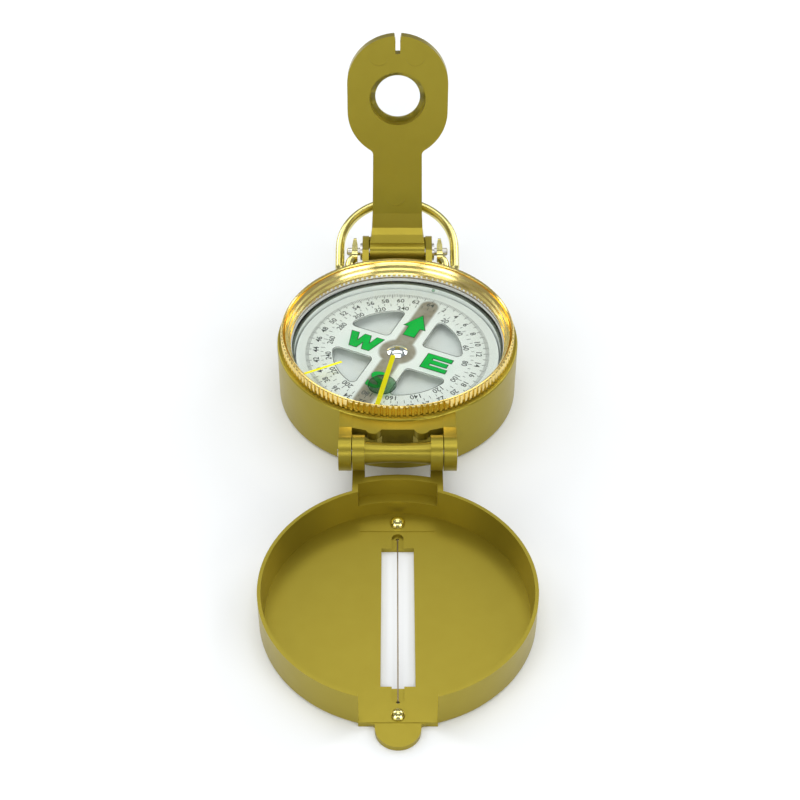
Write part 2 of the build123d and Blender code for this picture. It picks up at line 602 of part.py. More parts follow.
# ---- sight arm --------------------------------------------------------------------------------
head_top = HEAD_HIGH_U + HEAD_R
with BuildPart() as sight_arm:
    # Side profile: knuckle, cranked neck and flat plate.
    with BuildSketch(arm_side):
        Circle(KNUCKLE_R)
        with BuildLine():
            Polyline(
                (1.8, 0.3),
                (4.2, 1.3),
                (5.3, 2.9),
                (9.0, FRONT_V),
                (head_top, FRONT_V),
                (head_top, BACK_V),
                (8.7, BACK_V),
                (3.9, 4.9),
                (2.9, 3.2),
                (0.2, 2.2),
                close=True,
            )
        make_face()
    extrude(amount=HEAD_R + 1, both=True)

    # Outline from the front: knuckle, neck that narrows upwards, and long round head.
    with BuildSketch(arm_front.offset(KNUCKLE_R + 1)) as arm_outline:
        with BuildLine():
            Polyline(
                (0, -KNUCKLE_R - 1),
                (KNUCKLE_HALF, -KNUCKLE_R - 1),
                (KNUCKLE_HALF, KNUCKLE_R),
                *[(half, u) for u, half in NECK_WIDTHS],
                (NECK_WIDTHS[-1][1], HEAD_LOW_U),
                (0, HEAD_LOW_U),
            )
            mirror(about=Plane.YZ)
        make_face()
        with Locations((0, HEAD_LOW_U), (0, HEAD_HIGH_U)):
            Circle(HEAD_R)
        with Locations((0, (HEAD_LOW_U + HEAD_HIGH_U) / 2)):
            Rectangle(2 * HEAD_R, HEAD_HIGH_U - HEAD_LOW_U)
        neck_corners = [
            corner for corner in arm_outline.vertices()
            if abs(abs(corner.X) - NECK_WIDTHS[-1][1]) < 0.01 and corner.Y > 25.5
        ]
        fillet(neck_corners, NECK_FILLET)
    extrude(amount=-(KNUCKLE_R + 1 + BACK_V + 1), mode=Mode.INTERSECT)

    # Stepped eye, sighting notch, shallow marks and the pin's turning hole.
    with BuildSketch(arm_front.offset(-FRONT_V)):
        with Locations((0, EYE_U)):
            Circle(EYE_SEAT_R)
    extrude(amount=-EYE_DEPTH, mode=Mode.SUBTRACT)
    with BuildSketch(arm_front.offset(-FRONT_V)):
        with Locations((0, EYE_U)):
            Circle(EYE_R)
        with BuildLine():
            Polyline(
                (-NOTCH_LOW_HALF, head_top - NOTCH_DEPTH),
                (NOTCH_LOW_HALF, head_top - NOTCH_DEPTH),
                (NOTCH_LOW_HALF, head_top - NOTCH_FLARE),
                (NOTCH_TOP_HALF, head_top + 0.3),
                (-NOTCH_TOP_HALF, head_top + 0.3),
                (-NOTCH_LOW_HALF, head_top - NOTCH_FLARE),
                close=True,
            )
        make_face()
    extrude(amount=-(BACK_V - FRONT_V + 1), mode=Mode.SUBTRACT)
    with BuildSketch(arm_front.offset(-FRONT_V)):
        with Locations(*MARKS):
            Circle(MARK_R)
    extrude(amount=-MARK_DEPTH, mode=Mode.SUBTRACT)
    with BuildSketch(arm_side):
        Circle(PIN_R + PIN_RUN)
    extrude(amount=KNUCKLE_HALF + 1, both=True, mode=Mode.SUBTRACT)
sight_arm.part.label = "sight_arm"
export_step(sight_arm.part, "parts/sight_arm.step")


# ---- magnifier lens: flat behind, domed in front, on the eye's ledge -------------------------
eye_seat = arm_front.from_local_coords((0, EYE_U, -FRONT_V - EYE_DEPTH))
lens_plane = Plane(origin=eye_seat, x_dir=(1, 0, 0), z_dir=arm_up)
with BuildPart() as magnifier_lens:
    with BuildSketch(lens_plane):
        with BuildLine():
            Polyline((0, -LENS_EDGE - LENS_CROWN), (0, 0), (LENS_R, 0), (LENS_R, -LENS_EDGE))
            RadiusArc(
                (LENS_R, -LENS_EDGE),
                (0, -LENS_EDGE - LENS_CROWN),
                dome_radius(LENS_R, LENS_CROWN),
            )
        make_face()
    revolve(axis=Axis(eye_seat, arm_back))
magnifier_lens.part.label = "magnifier_lens"
export_step(magnifier_lens.part, "parts/magnifier_lens.step")


# ---- arm hinge pin, which the thumb ring also turns on, and its two washers -------------------
with BuildPart() as arm_hinge_pin:
    with BuildSketch(Plane.YZ):
        with Locations((AXIS_Y, AXIS_Z)):
            Circle(PIN_R)
    extrude(amount=ARM_PIN_END, both=True)
    chamfer(arm_hinge_pin.edges().filter_by(GeomType.CIRCLE), PIN_CHAMFER)
arm_hinge_pin.part.label = "arm_hinge_pin"
export_step(arm_hinge_pin.part, "parts/arm_hinge_pin.step")

with BuildPart() as pin_washers:
    for side in (-1, 1):
        with BuildSketch(Plane.YZ.offset(side * (BRACKET_OUT + WASHER_OUT) / 2)):
            with Locations((AXIS_Y, AXIS_Z)):
                Circle(WASHER_R)
                Circle(PIN_R, mode=Mode.SUBTRACT)
        extrude(amount=(WASHER_OUT - BRACKET_OUT) / 2, both=True)
pin_washers.part.label = "pin_washers"
export_step(pin_washers.part, "parts/pin_washers.step")


# ---- thumb ring: round wire bent to an arch, each end turned back to a flattened eye ----------
with BuildPart() as thumb_ring:
    turn_x = (RING_INNER_LEG + RING_R) / 2
    turn_r = (RING_R - RING_INNER_LEG) / 2
    arch_mid = RING_R * sin(pi / 4)
    with BuildLine(ring_front) as ring_path:
        JernArc((RING_INNER_LEG, RING_TURN), (0, 1), RING_LEAD_R, RING_LEAD_ARC)
        ThreePointArc(
            (RING_INNER_LEG, RING_TURN), (turn_x, RING_TURN - turn_r), (RING_R, RING_TURN)
        )
        Line((RING_R, RING_TURN), (RING_R, RING_CENTRE))
        ThreePointArc(
            (RING_R, RING_CENTRE),
            (arch_mid, RING_CENTRE + arch_mid),
            (0, RING_CENTRE + RING_R),
        )
        mirror(about=Plane.YZ)
    ring_wire = ring_path.wires()[0]
    with BuildSketch(Plane(origin=ring_wire @ 0, z_dir=ring_wire % 0)):
        Circle(RING_WIRE_R)
    sweep(path=ring_wire)
    with Locations(ring_wire @ 0, ring_wire @ 1):
        Sphere(RING_WIRE_R)
    for side in (-1, 1):
        eye_plane = Plane(
            origin=(side * (EYE_IN + EYE_OUT) / 2, AXIS_Y, AXIS_Z),
            x_dir=ring_along,
            z_dir=(1, 0, 0),
        )
        with BuildSketch(eye_plane):
            with Locations((EYE_LOW, 0)):
                Circle(EYE_LOW_R)
            with Locations((EYE_HIGH, 0)):
                Circle(EYE_HIGH_R)
            with BuildLine():
                Polyline(
                    (EYE_LOW, -EYE_LOW_R),
                    (EYE_HIGH, -EYE_HIGH_R),
                    (EYE_HIGH, EYE_HIGH_R),
                    (EYE_LOW, EYE_LOW_R),
                    close=True,
                )
            make_face()
        extrude(amount=(EYE_OUT - EYE_IN) / 2, both=True)

    # Each eye thins from both sides towards its tip.
    eye_mid = (EYE_IN + EYE_OUT) / 2
    eye_tip = EYE_HIGH + EYE_HIGH_R + 0.2
    with BuildSketch(ring_front):
        for face_x, tip_x in (
            (EYE_IN - 0.1, eye_mid - EYE_TIP_T / 2),
            (EYE_OUT + 0.1, eye_mid + EYE_TIP_T / 2),
        ):
            with BuildLine():
                Polyline((face_x, EYE_TAPER_FROM), (face_x, eye_tip), (tip_x, eye_tip), close=True)
            make_face()
        mirror(about=Plane.YZ)
    extrude(amount=2 * EYE_LOW_R, both=True, mode=Mode.SUBTRACT)
    with BuildSketch(Plane.YZ):
        with Locations((AXIS_Y, AXIS_Z)):
            Circle(PIN_R + PIN_RUN)
    extrude(amount=EYE_OUT + 1.2, both=True, mode=Mode.SUBTRACT)
thumb_ring.part.label = "thumb_ring"
export_step(thumb_ring.part, "parts/thumb_ring.step")
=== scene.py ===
"""Looks of the sighting compass: materials, printed dial, air bubbles, light and camera."""

import math

import bmesh
import bpy
from mathutils import Matrix, Vector


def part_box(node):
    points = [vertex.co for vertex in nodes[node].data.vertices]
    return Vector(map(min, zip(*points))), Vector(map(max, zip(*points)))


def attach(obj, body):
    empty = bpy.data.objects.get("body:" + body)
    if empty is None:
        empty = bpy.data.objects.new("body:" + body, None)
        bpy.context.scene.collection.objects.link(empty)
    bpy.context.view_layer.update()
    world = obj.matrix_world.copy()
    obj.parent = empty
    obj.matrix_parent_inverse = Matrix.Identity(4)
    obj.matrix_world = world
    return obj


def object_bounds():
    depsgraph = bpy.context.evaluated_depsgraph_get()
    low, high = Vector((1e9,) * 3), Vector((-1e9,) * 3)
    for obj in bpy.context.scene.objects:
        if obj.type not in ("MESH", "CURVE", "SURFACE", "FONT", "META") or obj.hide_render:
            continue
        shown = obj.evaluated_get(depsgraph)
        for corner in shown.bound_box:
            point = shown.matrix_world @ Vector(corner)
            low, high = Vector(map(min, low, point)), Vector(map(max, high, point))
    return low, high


MM = 0.001

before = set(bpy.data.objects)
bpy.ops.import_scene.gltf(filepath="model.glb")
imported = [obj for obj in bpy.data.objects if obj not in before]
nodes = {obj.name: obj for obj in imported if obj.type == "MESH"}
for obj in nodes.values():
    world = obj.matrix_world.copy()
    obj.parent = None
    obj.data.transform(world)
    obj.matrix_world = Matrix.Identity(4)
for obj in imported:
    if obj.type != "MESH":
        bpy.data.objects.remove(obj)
cad_low, cad_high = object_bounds()

# ---- places and sizes taken from the frame ---------------------------------------------------
CARD_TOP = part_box("dial_card")[1].z
CRYSTAL_EDGE_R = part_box("crystal")[1].x / MM - 0.3
COVER_EDGE_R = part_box("capsule_cover")[1].x / MM - 0.5

# ---- the printed dial, in millimetres on the card ----------------------------------------------
CARD_NORTH = 25.0              # degrees clockwise from +Y in which the card's north points
PRINT_LIFT, PRINT_T = 0.02, 0.02
MIL_BAND, MIL_LONG, MIL_SHORT = 22.0, 20.6, 21.1        # outer end and inner ends of mil ticks
MIL_TICKS, MIL_LONG_EVERY = 320, 5
LONG_TICK_HALF, SHORT_TICK_HALF, DEGREE_TICK_HALF = 0.07, 0.045, 0.06   # half widths
MIL_NUMBER_R, MIL_NUMBERS = 19.45, range(2, 65, 2)
DEGREE_NUMBER_R, DEGREE_NUMBERS = 16.45, range(20, 341, 20)
DEGREE_TICKS, DEGREE_TICK_R, DEGREE_LONG, DEGREE_SHORT = 72, 18.35, 1.0, 0.65
NUMBER_SIZE, MIL_BOLD, DEGREE_BOLD = 1.95, 0.02, 0.015
WINDOW_EDGE, WINDOW_R, WINDOW_ROUND = 4.35, 15.5, 1.2
WINDOW_LINE_OUT, WINDOW_LINE_IN = 0.09, -0.04           # the line's edges, from the window's
ARC_STEP = 8                   # degrees between points on the window's round stretches
# needle and hub sizes below place the painted shade of the needle bar on the card, with its soft edges
NEEDLE_HALF, NEEDLE_REACH, HUB_R = 2.3, 21.0, 4.5
NEEDLE_BLUR, HUB_BLUR = 0.45, 0.5
LETTER_H, LETTER_EDGE = 5.1, 0.2
E_WIDTH, E_BAR, E_STEM, E_INSET, E_R = 6.3, 1.12, 1.6, 0.5, 10.25
W_WIDTH, W_R, ARROW_R = 8.4, 9.0, 6.5
S_SIZE, S_STRETCH, S_EDGE_BOLD, S_FACE_BOLD, S_R = 7.9, 1.25, 0.26, 0.16, 11.5
BUBBLE_AT, BUBBLE_R, BUBBLE_HALF = (-3.6, -12.7, 12.1), 3.4, 0.6
SMALL_BUBBLE_AT, SMALL_BUBBLE_R, SMALL_BUBBLE_HALF = (9.0, 22.2, 12.4), 0.4, 0.3

# ---- painted green shadow that the letters would throw on the card -------------------------------
GREEN_SHADOW_SPOTS = ((90, 10.6, 0.9), (270, 9.4, -0.9))       # bearing, radius and shift along north
GREEN_SHADOW_R, GREEN_SHADOW_SHARE = 3.0, 0.35

# ---- camera: place and direction of the main view ------------------------------------------------
CAMERA_AT = Vector((-1.24, -277.0, 248.1)) * MM
CAMERA_PITCH, CAMERA_YAW, CAMERA_ROLL = 0.739, 0.007, 0.006
CAMERA_LENS, SENSOR = 68.5, 36.0


# ---- light, in metres and watts ------------------------------------------------------------------
AIM, FRONT_AIM, DIAL_AIM = (0, -0.02, 0.01), (0, 0.04, 0.03), (0, 0.04, 0)
BACK_AIM, FAR_AIM = (0, 0.36, 0), (0, 0.32, 0)
SOFTBOXES = (                  # name, place, aim, size and power
    ("softbox_left", (-0.50, -0.55, 0.26), AIM, (0.40, 0.40), 2.2),
    ("softbox_right", (0.50, -0.55, 0.26), AIM, (0.40, 0.40), 2.2),
    ("softbox_front", (0.0, -0.75, 0.60), FRONT_AIM, (0.60, 0.22), 1.15),
    ("softbox_top", (0.0, -0.02, 0.90), DIAL_AIM, (0.60, 0.30), 1.6),
    ("softbox_back", (0.0, 0.42, 0.80), BACK_AIM, (0.80, 0.35), 1.55),
    ("softbox_back_left", (-0.60, 0.50, 0.45), FAR_AIM, (0.40, 0.40), 2.2),
    ("softbox_back_right", (0.60, 0.50, 0.45), FAR_AIM, (0.40, 0.40), 2.2),
)
WORLD_COLOUR, WORLD_STRENGTH = (0.93, 0.96, 1.0), 0.35
FLOOR_HALF, FLOOR_GAP_MM = 3.0, 0.02
CLEAR_BOUNCES = 32             # crystal, cover, bubble and folded lens can all lie over the card

# ---- named colours, and the usual spread of a noise ---------------------------------------------
# NEEDLE_SHADE is painted shade on the card where the needle bar lies under it; the green after it is
# the letters' painted shadow
CARD_WHITE, NEEDLE_SHADE, GREEN_SHADOW_COLOUR = (0.90, 0.93, 0.90), (0.25, 0.21, 0.14), (0.30, 0.66, 0.42)
GLASS_SHINE, GROUND_GLASS = (0.92, 0.94, 0.93), (0.88, 0.90, 0.89)
PAINT_DARK, PAINT_LIGHT = (0.325, 0.258, 0.024), (0.335, 0.268, 0.026)
NOISE_LOW, NOISE_HIGH = 0.3, 0.7


# =============================== materials =========================================================
def shader(name, colour, metallic=0.0, roughness=0.5, **sockets):
    """New material with one Principled shader. Returns (material, node tree, shader)."""
    material = bpy.data.materials.new(name)
    material.use_nodes = True
    tree = material.node_tree
    bsdf = tree.nodes["Principled BSDF"]
    bsdf.inputs["Base Color"].default_value = (*colour, 1)
    bsdf.inputs["Metallic"].default_value = metallic
    bsdf.inputs["Roughness"].default_value = roughness
    for socket, value in sockets.items():
        bsdf.inputs[socket.replace("_", " ")].default_value = value
    return material, tree, bsdf


def noise(tree, size_mm, detail=3.0, stretch=(1, 1, 1)):
    """Noise whose features are about this many millimetres across, fixed to the piece."""
    coordinates = tree.nodes.new("ShaderNodeTexCoord")
    mapping = tree.nodes.new("ShaderNodeMapping")
    mapping.inputs["Scale"].default_value = [s / (size_mm * MM) for s in stretch]
    texture = tree.nodes.new("ShaderNodeTexNoise")
    texture.inputs["Scale"].default_value = 1.0
    texture.inputs["Detail"].default_value = detail
    tree.links.new(coordinates.outputs["Object"], mapping.inputs["Vector"])
    tree.links.new(mapping.outputs["Vector"], texture.inputs["Vector"])
    return texture.outputs["Fac"]


def spread(tree, source, low, high):
    """A number between low and high that follows a noise over its usual spread."""
    node = tree.nodes.new("ShaderNodeMapRange")
    node.inputs["From Min"].default_value = NOISE_LOW
    node.inputs["From Max"].default_value = NOISE_HIGH
    node.inputs["To Min"].default_value = low
    node.inputs["To Max"].default_value = high
    tree.links.new(source, node.inputs["Value"])
    return node.outputs["Result"]


def mix_colour(tree, factor, first, second):
    """Colour between first and second; each is a colour or a socket."""
    node = tree.nodes.new("ShaderNodeMix")
    node.data_type = "RGBA"
    tree.links.new(factor, node.inputs["Factor"])
    # Inputs 6 and 7 and output 2 are the colour sockets of a Mix node.
    for socket, value in ((node.inputs[6], first), (node.inputs[7], second)):
        if isinstance(value, tuple):
            socket.default_value = (*value, 1)
        else:
            tree.links.new(value, socket)
    return node.outputs[2]


def bump(tree, bsdf, height, strength, distance_mm):
    """Makes a height stand out of the surface by a distance."""
    node = tree.nodes.new("ShaderNodeBump")
    node.inputs["Strength"].default_value = strength
    node.inputs["Distance"].default_value = distance_mm * MM
    tree.links.new(height, node.inputs["Height"])
    tree.links.new(node.outputs["Normal"], bsdf.inputs["Normal"])


def worked_metal(name, dark, light, metallic, rough, grain_mm, grain, cloud_mm=9.0):
    """Metal or metallic paint: cloudy colour, uneven gloss and a fine grain."""
    material, tree, bsdf = shader(name, light, metallic=metallic)
    clouds = spread(tree, noise(tree, cloud_mm), 0.0, 1.0)
    tree.links.new(mix_colour(tree, clouds, dark, light), bsdf.inputs["Base Color"])
    tree.links.new(spread(tree, noise(tree, 2.5), *rough), bsdf.inputs["Roughness"])
    bump(tree, bsdf, noise(tree, grain_mm, detail=2.0), grain, 0.03)
    return material


def maths(tree, operation, *values):
    """Math node; each value is a number or a socket."""
    node = tree.nodes.new("ShaderNodeMath")
    node.operation = operation
    for socket, value in zip(node.inputs, values):
        if isinstance(value, (int, float)):
            socket.default_value = value
        else:
            tree.links.new(value, socket)
    return node.outputs[0]


def fade(tree, distance, edge_mm, blur_mm):
    """1 inside a distance, in metres, and 0 outside it, with a soft edge."""
    node = tree.nodes.new("ShaderNodeMapRange")
    node.interpolation_type = "SMOOTHSTEP"
    node.inputs["From Min"].default_value = (edge_mm - blur_mm) * MM
    node.inputs["From Max"].default_value = (edge_mm + blur_mm) * MM
    node.inputs["To Min"].default_value = 1.0
    node.inputs["To Max"].default_value = 0.0
    tree.links.new(distance, node.inputs["Value"])
    return node.outputs["Result"]


def see_through(name, tint, colour, head_on, grazing, metallic, power=4.0, edge_mm=None):
    """Clear material: a share of the surface, larger at a slant, shows a shiny colour. Beyond
    a distance from the Z axis it is ground white, as the edge of a glass is."""
    material, tree, mirror = shader(name, colour, metallic=metallic, roughness=0.03)
    output = tree.nodes["Material Output"]
    through = tree.nodes.new("ShaderNodeBsdfTransparent")
    through.inputs["Color"].default_value = (*tint, 1)
    slant = tree.nodes.new("ShaderNodeLayerWeight")
    steep = maths(tree, "POWER", slant.outputs["Facing"], power)
    share = maths(tree, "MULTIPLY_ADD", steep, grazing, head_on)
    mixed = tree.nodes.new("ShaderNodeMixShader")
    tree.links.new(share, mixed.inputs[0])
    tree.links.new(through.outputs["BSDF"], mixed.inputs[1])
    tree.links.new(mirror.outputs["BSDF"], mixed.inputs[2])
    surface = mixed.outputs["Shader"]
    if edge_mm is not None:
        ground = tree.nodes.new("ShaderNodeBsdfPrincipled")
        ground.inputs["Base Color"].default_value = (*GROUND_GLASS, 1)
        ground.inputs["Roughness"].default_value = 0.35
        coordinates = tree.nodes.new("ShaderNodeTexCoord")
        flat = tree.nodes.new("ShaderNodeVectorMath")
        flat.operation = "MULTIPLY"
        flat.inputs[1].default_value = (1, 1, 0)
        length = tree.nodes.new("ShaderNodeVectorMath")
        length.operation = "LENGTH"
        tree.links.new(coordinates.outputs["Object"], flat.inputs[0])
        tree.links.new(flat.outputs["Vector"], length.inputs[0])
        beyond = maths(tree, "GREATER_THAN", length.outputs["Value"], edge_mm * MM)
        edged = tree.nodes.new("ShaderNodeMixShader")
        tree.links.new(beyond, edged.inputs[0])
        tree.links.new(surface, edged.inputs[1])
        tree.links.new(ground.outputs["BSDF"], edged.inputs[2])
        surface = edged.outputs["Shader"]
    tree.links.new(surface, output.inputs["Surface"])
    return material


def plain(name, dark, light, roughness, cloud_mm=3.0):
    """Paint, print or plastic with a slight unevenness of colour and a fine surface."""
    material, tree, bsdf = shader(name, light, roughness=roughness)
    clouds = spread(tree, noise(tree, cloud_mm), 0.0, 1.0)
    tree.links.new(mix_colour(tree, clouds, dark, light), bsdf.inputs["Base Color"])
    bump(tree, bsdf, noise(tree, 0.15, detail=1.0), 0.15, 0.01)
    return material


def glowing(material, colour, strength):
    """Painted glow: emission that brightens the paint, as fluorescent paint gives a little light of its
    own.
    """
    bsdf = material.node_tree.nodes["Principled BSDF"]
    bsdf.inputs["Emission Color"].default_value = (*colour, 1)
    bsdf.inputs["Emission Strength"].default_value = strength
    bsdf.inputs["Specular IOR Level"].default_value = 0.1
    return material


def card_material():
    """White card, with a painted shade where the needle bar lies under it and a painted green shadow of
    the letters.
    """
    material, tree, bsdf = shader("dial_card_white", CARD_WHITE, roughness=0.35)
    coordinates = tree.nodes.new("ShaderNodeTexCoord")

    def along(bearing):
        """Distance along a bearing on the card, clockwise from its north."""
        turn = math.radians(CARD_NORTH + bearing)
        node = tree.nodes.new("ShaderNodeVectorMath")
        node.operation = "DOT_PRODUCT"
        node.inputs[1].default_value = (math.sin(turn), math.cos(turn), 0)
        tree.links.new(coordinates.outputs["Object"], node.inputs[0])
        return node.outputs["Value"]

    north, east = along(0), along(90)
    beyond = maths(tree, "SUBTRACT", maths(tree, "ABSOLUTE", north),
                   (NEEDLE_REACH - NEEDLE_HALF) * MM)
    beyond = maths(tree, "MAXIMUM", beyond, 0.0)
    from_bar = maths(tree, "SQRT", maths(tree, "ADD", maths(tree, "MULTIPLY", east, east),
                                         maths(tree, "MULTIPLY", beyond, beyond)))
    from_hub = maths(tree, "SQRT", maths(tree, "ADD", maths(tree, "MULTIPLY", east, east),
                                         maths(tree, "MULTIPLY", north, north)))
    bar = maths(tree, "MAXIMUM", fade(tree, from_bar, NEEDLE_HALF, NEEDLE_BLUR),
                fade(tree, from_hub, HUB_R, HUB_BLUR))
    # painted shade: darker card where the needle bar lies under it
    shade = maths(tree, "MULTIPLY", bar, spread(tree, noise(tree, 2.0), 0.80, 0.95))
    base = mix_colour(tree, shade, CARD_WHITE, NEEDLE_SHADE)

    green_shadow = None
    # painted green shadow of the letters: the card is tinted green in a soft spot beside each of E and
    # W
    for bearing, radius, shift in GREEN_SHADOW_SPOTS:
        across, up = along(bearing), along(bearing - 90)
        off = maths(tree, "SUBTRACT", across, radius * MM)
        side = maths(tree, "ADD", up, shift * MM)
        gap = maths(tree, "SQRT", maths(tree, "ADD", maths(tree, "MULTIPLY", off, off),
                                        maths(tree, "MULTIPLY", side, side)))
        one = fade(tree, gap, GREEN_SHADOW_R, GREEN_SHADOW_R)
        green_shadow = one if green_shadow is None else maths(tree, "MAXIMUM", green_shadow, one)
    green_shadow_share = maths(tree, "MULTIPLY", green_shadow, GREEN_SHADOW_SHARE)
    tree.links.new(mix_colour(tree, green_shadow_share, base, GREEN_SHADOW_COLOUR), bsdf.inputs["Base Color"])
    bump(tree, bsdf, noise(tree, 0.4, detail=1.0), 0.08, 0.01)
    return material


gold_paint = worked_metal("gold_paint", PAINT_DARK, PAINT_LIGHT, 0.75, (0.335, 0.355),
                          0.18, 0.30, cloud_mm=4.0)
bezel_gold = worked_metal("bezel_gold", (0.88, 0.66, 0.21), (0.95, 0.76, 0.30), 1.0,
                          (0.12, 0.22), 0.6, 0.10)
pale_brass = worked_metal("pale_brass", (0.66, 0.58, 0.20), (0.74, 0.67, 0.27), 1.0,
                          (0.12, 0.20), 0.8, 0.06)
bronze = worked_metal("bronze", (0.20, 0.15, 0.09), (0.28, 0.22, 0.14), 1.0, (0.30, 0.42), 0.3, 0.1)
steel = worked_metal("steel", (0.50, 0.49, 0.46), (0.62, 0.61, 0.58), 1.0, (0.22, 0.34), 0.3, 0.15)
chrome = worked_metal("chrome", (0.78, 0.78, 0.78), (0.86, 0.86, 0.86), 1.0,
                      (0.05, 0.09), 0.8, 0.04)
crystal_glass = see_through("crystal_glass", (0.985, 0.99, 0.985), GLASS_SHINE, 0.006, 0.35,
                            1.0, edge_mm=CRYSTAL_EDGE_R)
lens_glass = see_through("lens_glass", (0.985, 0.99, 0.985), GLASS_SHINE, 0.015, 0.4, 1.0)
clear_plastic = see_through("clear_plastic", (0.98, 0.99, 0.985), GLASS_SHINE, 0.004, 0.3,
                            1.0, edge_mm=COVER_EDGE_R)
# the air bubbles' green tint and their dark green rim, darker at a slant, are painted shade in place of
# what their refraction shows
air = see_through("air", (0.80, 0.98, 0.86), (0.0, 0.030, 0.014), 0.06, 2.6, 0.0, power=2.2)
capsule_white = plain("capsule_white", (0.86, 0.89, 0.87), (0.93, 0.95, 0.93), 0.3)
seal_rubber = plain("seal_rubber", (0.11, 0.13, 0.10), (0.16, 0.18, 0.14), 0.6, 1.0)
needle_grey = plain("needle_grey", (0.26, 0.23, 0.18), (0.32, 0.28, 0.22), 0.45)
# the index lines are brightened by a painted glow
line_yellow = glowing(plain("line_yellow", (0.80, 0.74, 0.01), (0.86, 0.82, 0.02), 0.4),
                      (0.85, 0.78, 0.01), 0.30)
jewel = plain("jewel", (0.35, 0.03, 0.05), (0.45, 0.04, 0.07), 0.1)
print_black = plain("print_black", (0.035, 0.045, 0.04), (0.06, 0.07, 0.065), 0.5, 1.0)
# the letters are brightened by a painted glow
letter_green = glowing(plain("letter_green", (0.0, 0.40, 0.05), (0.0, 0.47, 0.065), 0.55),
                       (0.0, 0.45, 0.06), 0.12)
letter_edge = plain("letter_edge", (0.0, 0.07, 0.02), (0.0, 0.09, 0.03), 0.5)
card_white = card_material()

NODE_MATERIALS = {
    gold_paint: ("case_body", "lid_cup", "sight_arm"),
    bezel_gold: ("bezel_ring",),
    pale_brass: ("thumb_ring", "wire_screws"),
    steel: ("lid_hinge_pin", "arm_hinge_pin", "pin_washers", "snap_ring", "pivot_post"),
    bronze: ("sight_wire",),
    chrome: ("pivot_cap",),
    crystal_glass: ("crystal",),
    lens_glass: ("magnifier_lens",),
    clear_plastic: ("capsule_cover",),
    capsule_white: ("capsule_cup",),
    seal_rubber: ("capsule_gasket", "fill_plug"),
    needle_grey: ("needle_bar",),
    line_yellow: ("crystal_index_line", "capsule_index_line"),
    jewel: ("jewel_bearing",),
    card_white: ("dial_card",),
}
for material, names in NODE_MATERIALS.items():
    for name in names:
        nodes[name].data.materials.clear()
        nodes[name].data.materials.append(material)


# =============================== pieces on the dial ==================================================
def add_piece(name, bm, material, body, smooth=False):
    """Turns a bmesh in metres into a piece that rides on a body."""
    bmesh.ops.recalc_face_normals(bm, faces=bm.faces)
    mesh = bpy.data.meshes.new(name)
    bm.to_mesh(mesh)
    bm.free()
    for face in mesh.polygons:
        face.use_smooth = smooth
    mesh.materials.append(material)
    piece = bpy.data.objects.new(name, mesh)
    bpy.context.scene.collection.objects.link(piece)
    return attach(piece, body)


def on_card(bearing, radius=0.0, lift=PRINT_LIFT, turn=None):
    """Matrix from millimetres on a print to its place on the card, its top pointing outwards
    along the bearing, or along another bearing on the card."""
    outward = math.radians(CARD_NORTH + bearing)
    facing = outward if turn is None else math.radians(CARD_NORTH + turn)
    place = Matrix.Translation((math.sin(outward) * radius * MM, math.cos(outward) * radius * MM,
                                CARD_TOP + lift * MM))
    return place @ Matrix.Rotation(-facing, 4, "Z") @ Matrix.Scale(MM, 4)


def add_prism(bm, outline, matrix, thickness=PRINT_T):
    """Adds a flat shape of this outline and thickness, both in millimetres."""
    face = bm.faces.new([bm.verts.new(matrix @ Vector((x, y, 0))) for x, y in outline])
    raised = bmesh.ops.extrude_face_region(bm, geom=[face])["geom"]
    lift = matrix.to_3x3() @ Vector((0, 0, thickness))
    bmesh.ops.translate(bm, verts=[v for v in raised if isinstance(v, bmesh.types.BMVert)],
                        vec=lift)


def add_text(bm, words, size, matrix, bold=0.0, stretch=1.0):
    """Adds centred text, with strokes made bolder by an offset in millimetres."""
    curve = bpy.data.curves.new("text", "FONT")
    curve.body = words
    curve.size = size
    curve.align_x, curve.align_y = "CENTER", "CENTER"
    curve.offset = bold
    curve.extrude = PRINT_T / 2
    curve.resolution_u = 4
    holder = bpy.data.objects.new("text", curve)
    mesh = bpy.data.meshes.new_from_object(holder)
    mesh.transform(matrix @ Matrix.Diagonal((stretch, 1, 1, 1)))
    bm.from_mesh(mesh)
    bpy.data.objects.remove(holder)
    bpy.data.curves.remove(curve)
    bpy.data.meshes.remove(mesh)


def grown(outline, by):
    """The outline with every edge moved outwards by a distance."""
    area = sum(a[0] * b[1] - b[0] * a[1] for a, b in zip(outline, outline[1:] + outline[:1]))
    by = by if area > 0 else -by
    result = []
    for before, here, after in zip(outline[-1:] + outline[:-1], outline, outline[1:] + outline[:1]):
        first = (Vector(here) - Vector(before)).normalized()
        second = (Vector(after) - Vector(here)).normalized()
        n1, n2 = Vector((first.y, -first.x)), Vector((second.y, -second.x))
        result.append(tuple(Vector(here) + (n1 + n2) * (by / (1 + n1.dot(n2)))))
    return result


def dial_ticks():
    """The outer ring of mil ticks and the inner ring of degree ticks."""
    bm = bmesh.new()
    for tick in range(MIL_TICKS):
        long = tick % MIL_LONG_EVERY == 0
        inner, half = (MIL_LONG, LONG_TICK_HALF) if long else (MIL_SHORT, SHORT_TICK_HALF)
        add_prism(bm, [(-half, inner), (half, inner), (half, MIL_BAND), (-half, MIL_BAND)],
                  on_card(tick * 360 / MIL_TICKS))
    half = DEGREE_TICK_HALF
    for tick in range(DEGREE_TICKS):
        length = DEGREE_LONG if tick % 2 == 0 else DEGREE_SHORT
        low, high = DEGREE_TICK_R - length, DEGREE_TICK_R
        add_prism(bm, [(-half, low), (half, low), (half, high), (-half, high)],
                  on_card(tick * 360 / DEGREE_TICKS))
    return add_piece("dial_ticks", bm, print_black, "card")


